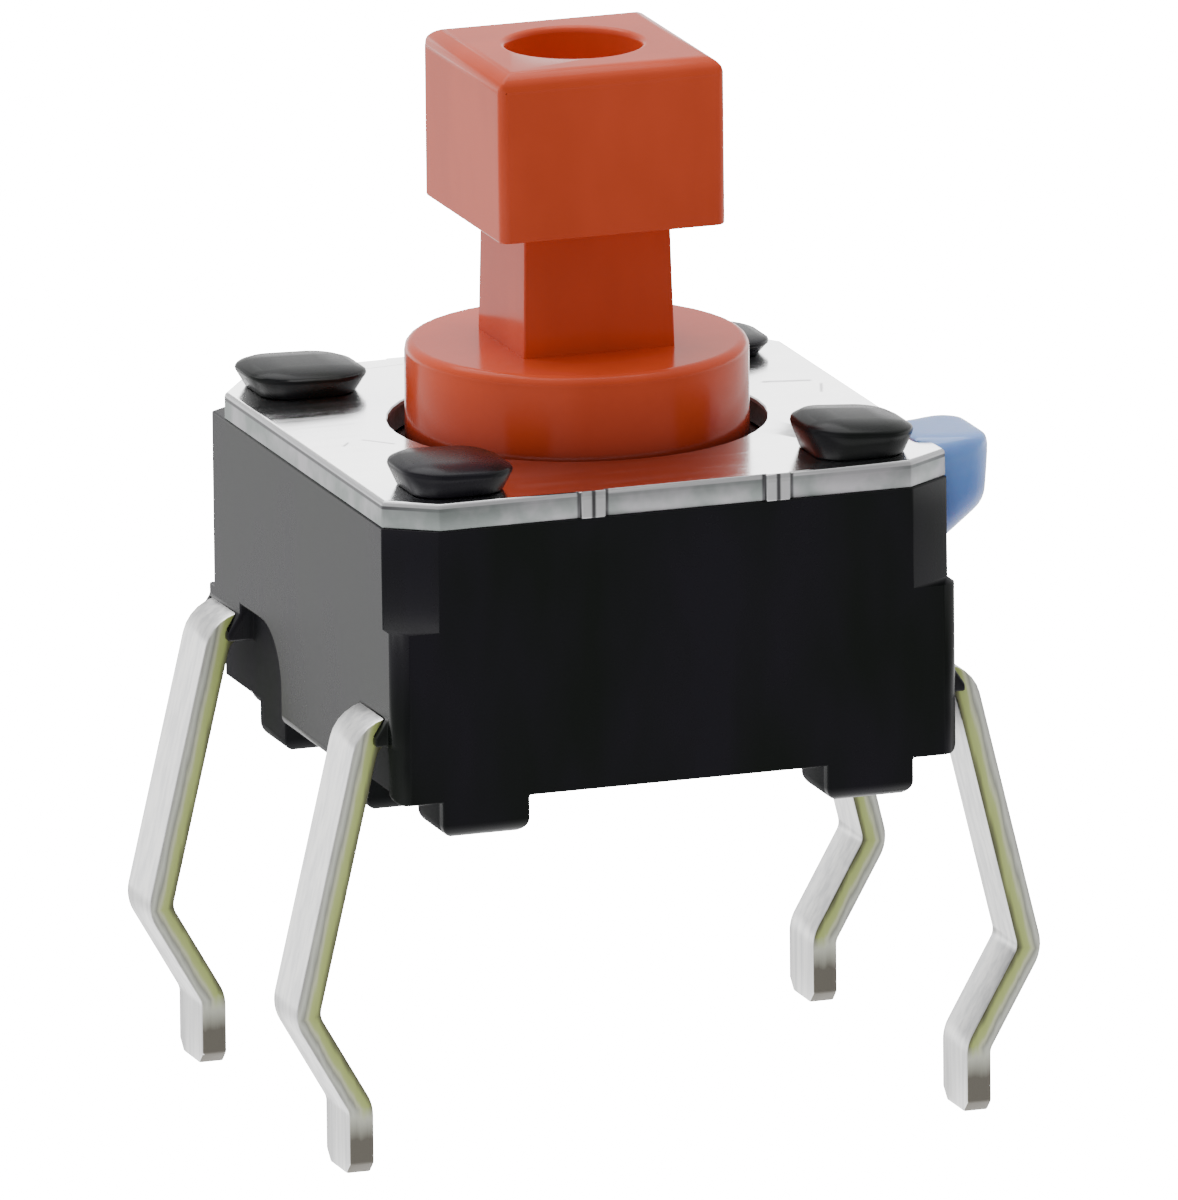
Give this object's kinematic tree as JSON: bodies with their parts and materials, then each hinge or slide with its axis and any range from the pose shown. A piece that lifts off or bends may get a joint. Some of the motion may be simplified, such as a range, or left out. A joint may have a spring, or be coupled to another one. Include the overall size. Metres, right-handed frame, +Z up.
{
  "type": "tactile push button switch",
  "caption": "Through-hole tactile push switch: square-headed plunger on a round collar, black square housing under a bright staked cover plate, bent snap-in leads.",
  "frame": {"origin": "on the plunger's axis at the board's surface, level with the bottom of the housing's feet", "axes": "+Z up along the plunger, +X to the right along the front face, across the two rows of leads; +Y to the back"},
  "size_m": [0.008, 0.006, 0.0108],
  "materials": {
    "housing_black": "moulded, satin",
    "cover_bright": "bright plated, sheared edges",
    "plunger_orange": "moulded, satin sheen",
    "dome_steel": "bright spring sheet",
    "film_amber": "thin clear film",
    "lead_plated": "silver plated faces, bare sheared edges",
    "bead_blue": "cured resin"
  },
  "bodies": {
    "housing": {"base": "housing_black", "cover_plate": "cover_bright", "contact_dome": "dome_steel", "seal_film": "film_amber", "front_terminal": "lead_plated", "back_terminal": "lead_plated", "sealing_bead": "bead_blue"},
    "button": {"plunger": "plunger_orange"}
  },
  "joints": [
    {"name": "press", "type": "slide", "parent": "housing", "child": "button", "axis": [0, 0, -1], "range_m": [0, 0.00025], "stiffness_N_per_m": 4000, "deforming": ["contact_dome", "seal_film"]}
  ]
}
